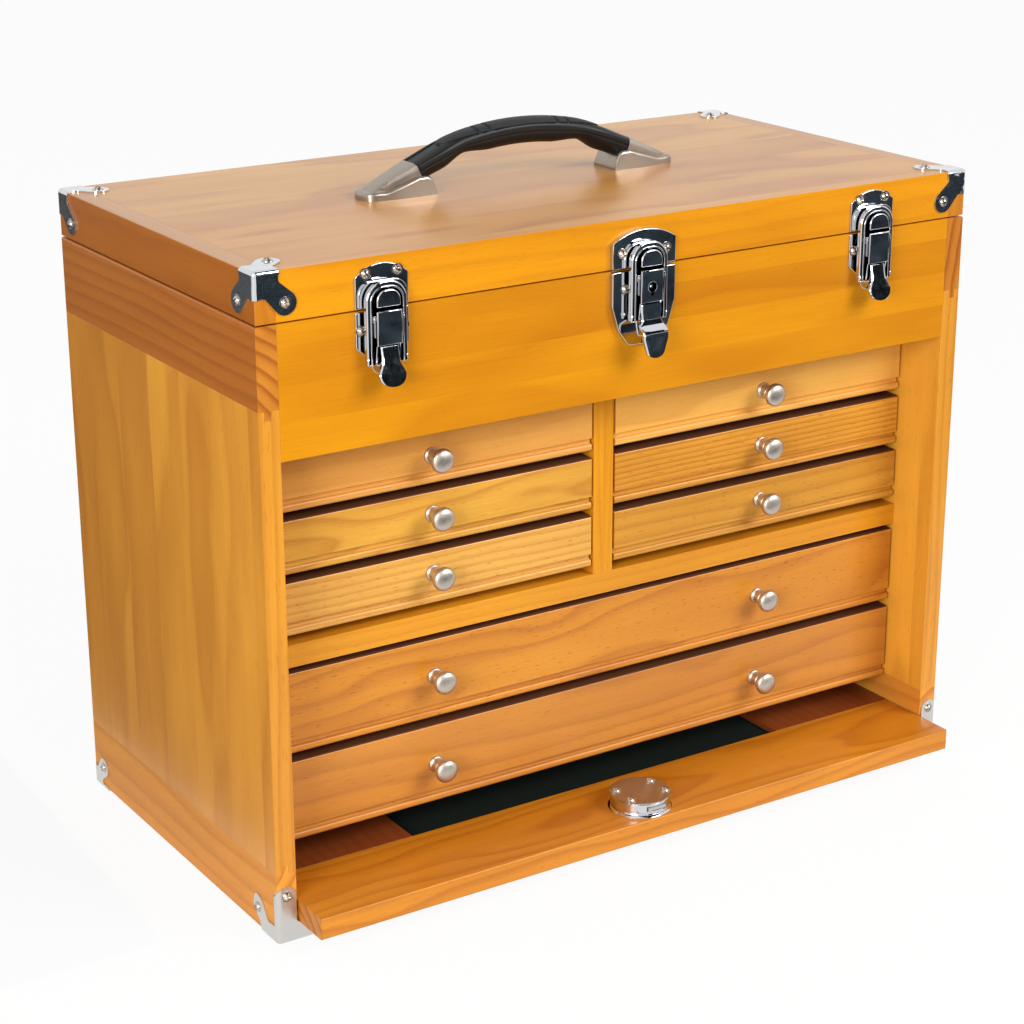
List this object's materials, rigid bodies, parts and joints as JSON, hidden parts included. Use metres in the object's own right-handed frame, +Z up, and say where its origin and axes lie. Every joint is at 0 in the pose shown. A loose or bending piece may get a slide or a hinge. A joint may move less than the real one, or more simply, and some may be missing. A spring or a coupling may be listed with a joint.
{
  "type": "machinist tool chest",
  "caption": "Wooden machinist tool chest with a lidded till, sliding drawers, a stowed front panel with a lock, draw latches and a carrying handle.",
  "frame": {"origin": "on the floor under the middle of the chest", "axes": "+X along the chest's width to the right, +Y towards the back, so the drawers and latches face -Y, +Z up"},
  "size_m": [0.516, 0.2998, 0.4442],
  "materials": {
    "lacquered_pine": "honey stained pine under satin lacquer",
    "drawer_pine": "amber stained pine under satin lacquer",
    "plain_pine": "pale pine, sanded",
    "plywood": "stained plywood, satin",
    "chrome": "mirror plated",
    "satin_nickel": "satin nickel plated",
    "nickel_screws": "bright nickel plated",
    "brushed_steel_guards": "satin steel",
    "hinge_steel": "plated steel",
    "grip_plastic": "black moulded, fine grain",
    "green_felt": "dark green felt"
  },
  "bodies": {
    "case": {"side_crossbands": "lacquered_pine", "side_planks": "lacquered_pine", "header_board": "lacquered_pine", "back_panel": "plywood", "till_floor": "lacquered_pine", "centre_divider": "lacquered_pine", "drawer_shelf": "lacquered_pine", "drawer_runners": "lacquered_pine", "base_board": "lacquered_pine", "bottom_corner_guards": "brushed_steel_guards", "case_screws": "nickel_screws", "hinge_case_leaves": "hinge_steel", "pivot_pins": "chrome", "latch_bases": "chrome"},
    "lid": {"lid_top_board": "lacquered_pine", "lid_end_rails": "lacquered_pine", "lid_long_rails": "lacquered_pine", "top_corner_guards": "chrome", "lid_screws": "nickel_screws", "latch_strikes": "chrome", "handle_ends": "satin_nickel", "handle_grip": "grip_plastic", "hinge_lid_leaves": "hinge_steel"},
    "front_panel": {"panel_frame": "lacquered_pine", "panel_infill": "plywood", "panel_felt": "green_felt", "lock_body": "chrome", "lock_cover": "satin_nickel"},
    "lock_bolt": {"lock_bolt": "hinge_steel"},
    "lock_plug": {"lock_plug": "hinge_steel"},
    "left_latch_lever": {"left_latch_lever": "chrome"},
    "left_latch_loop": {"left_latch_loop": "chrome"},
    "centre_latch_lever": {"centre_latch_lever": "chrome"},
    "centre_latch_loop": {"centre_latch_loop": "chrome"},
    "right_latch_lever": {"right_latch_lever": "chrome"},
    "right_latch_loop": {"right_latch_loop": "chrome"},
    "left_upper_drawer": {"left_upper_drawer_front": "drawer_pine", "left_upper_drawer_box": "plain_pine", "left_upper_drawer_knob": "satin_nickel"},
    "right_upper_drawer": {"right_upper_drawer_front": "drawer_pine", "right_upper_drawer_box": "plain_pine", "right_upper_drawer_knob": "satin_nickel"},
    "left_middle_drawer": {"left_middle_drawer_front": "drawer_pine", "left_middle_drawer_box": "plain_pine", "left_middle_drawer_knob": "satin_nickel"},
    "right_middle_drawer": {"right_middle_drawer_front": "drawer_pine", "right_middle_drawer_box": "plain_pine", "right_middle_drawer_knob": "satin_nickel"},
    "left_lower_drawer": {"left_lower_drawer_front": "drawer_pine", "left_lower_drawer_box": "plain_pine", "left_lower_drawer_knob": "satin_nickel"},
    "right_lower_drawer": {"right_lower_drawer_front": "drawer_pine", "right_lower_drawer_box": "plain_pine", "right_lower_drawer_knob": "satin_nickel"},
    "wide_upper_drawer": {"wide_upper_drawer_front": "drawer_pine", "wide_upper_drawer_box": "plain_pine", "wide_upper_drawer_knobs": "satin_nickel"},
    "wide_lower_drawer": {"wide_lower_drawer_front": "drawer_pine", "wide_lower_drawer_box": "plain_pine", "wide_lower_drawer_knobs": "satin_nickel"}
  },
  "joints": [
    {"name": "lid_hinge", "type": "hinge", "parent": "case", "child": "lid", "pos_m": [0, 0.14718, 0.3755], "axis": [-1, 0, 0], "range_deg": [0, 100]},
    {"name": "panel_slide", "type": "slide", "parent": "case", "child": "front_panel", "axis": [0, -1, 0], "range_m": [0, 0.23]},
    {"name": "bolt_slide", "type": "slide", "parent": "front_panel", "child": "lock_bolt", "axis": [0, -1, 0], "range_m": [0, 0.005]},
    {"name": "lock_turn", "type": "hinge", "parent": "front_panel", "child": "lock_plug", "pos_m": [0, -0.12823, 0.02], "axis": [0, 0, 1], "range_deg": [0, 90]},
    {"name": "left_lever_hinge", "type": "hinge", "parent": "case", "child": "left_latch_lever", "pos_m": [-0.1767, -0.12793, 0.371], "axis": [-1, 0, 0], "range_deg": [0, 130]},
    {"name": "left_loop_hinge", "type": "hinge", "parent": "left_latch_lever", "child": "left_latch_loop", "pos_m": [-0.1767, -0.12612, 0.34775], "axis": [-1, 0, 0], "range_deg": [-142, 0]},
    {"name": "centre_lever_hinge", "type": "hinge", "parent": "case", "child": "centre_latch_lever", "pos_m": [0, -0.13032, 0.371], "axis": [-1, 0, 0], "range_deg": [0, 130]},
    {"name": "centre_loop_hinge", "type": "hinge", "parent": "centre_latch_lever", "child": "centre_latch_loop", "pos_m": [0, -0.12853, 0.34775], "axis": [-1, 0, 0], "range_deg": [-142, 0]},
    {"name": "right_lever_hinge", "type": "hinge", "parent": "case", "child": "right_latch_lever", "pos_m": [0.1767, -0.12793, 0.371], "axis": [-1, 0, 0], "range_deg": [0, 130]},
    {"name": "right_loop_hinge", "type": "hinge", "parent": "right_latch_lever", "child": "right_latch_loop", "pos_m": [0.1767, -0.12612, 0.34775], "axis": [-1, 0, 0], "range_deg": [-142, 0]},
    {"name": "left_upper_drawer_slide", "type": "slide", "parent": "case", "child": "left_upper_drawer", "axis": [0, -1, 0], "range_m": [0, 0.17]},
    {"name": "right_upper_drawer_slide", "type": "slide", "parent": "case", "child": "right_upper_drawer", "axis": [0, -1, 0], "range_m": [0, 0.17]},
    {"name": "left_middle_drawer_slide", "type": "slide", "parent": "case", "child": "left_middle_drawer", "axis": [0, -1, 0], "range_m": [0, 0.17]},
    {"name": "right_middle_drawer_slide", "type": "slide", "parent": "case", "child": "right_middle_drawer", "axis": [0, -1, 0], "range_m": [0, 0.17]},
    {"name": "left_lower_drawer_slide", "type": "slide", "parent": "case", "child": "left_lower_drawer", "axis": [0, -1, 0], "range_m": [0, 0.17]},
    {"name": "right_lower_drawer_slide", "type": "slide", "parent": "case", "child": "right_lower_drawer", "axis": [0, -1, 0], "range_m": [0, 0.17]},
    {"name": "wide_upper_drawer_slide", "type": "slide", "parent": "case", "child": "wide_upper_drawer", "axis": [0, -1, 0], "range_m": [0, 0.17]},
    {"name": "wide_lower_drawer_slide", "type": "slide", "parent": "case", "child": "wide_lower_drawer", "axis": [0, -1, 0], "range_m": [0, 0.17]}
  ],
  "couplings": [
    {"joint": "lock_turn", "follows": "bolt_slide", "rad_per_m": 314.16},
    {"joint": "left_loop_hinge", "follows": "left_lever_hinge", "ratio": -1.08},
    {"joint": "centre_loop_hinge", "follows": "centre_lever_hinge", "ratio": -1.08},
    {"joint": "right_loop_hinge", "follows": "right_lever_hinge", "ratio": -1.08}
  ]
}
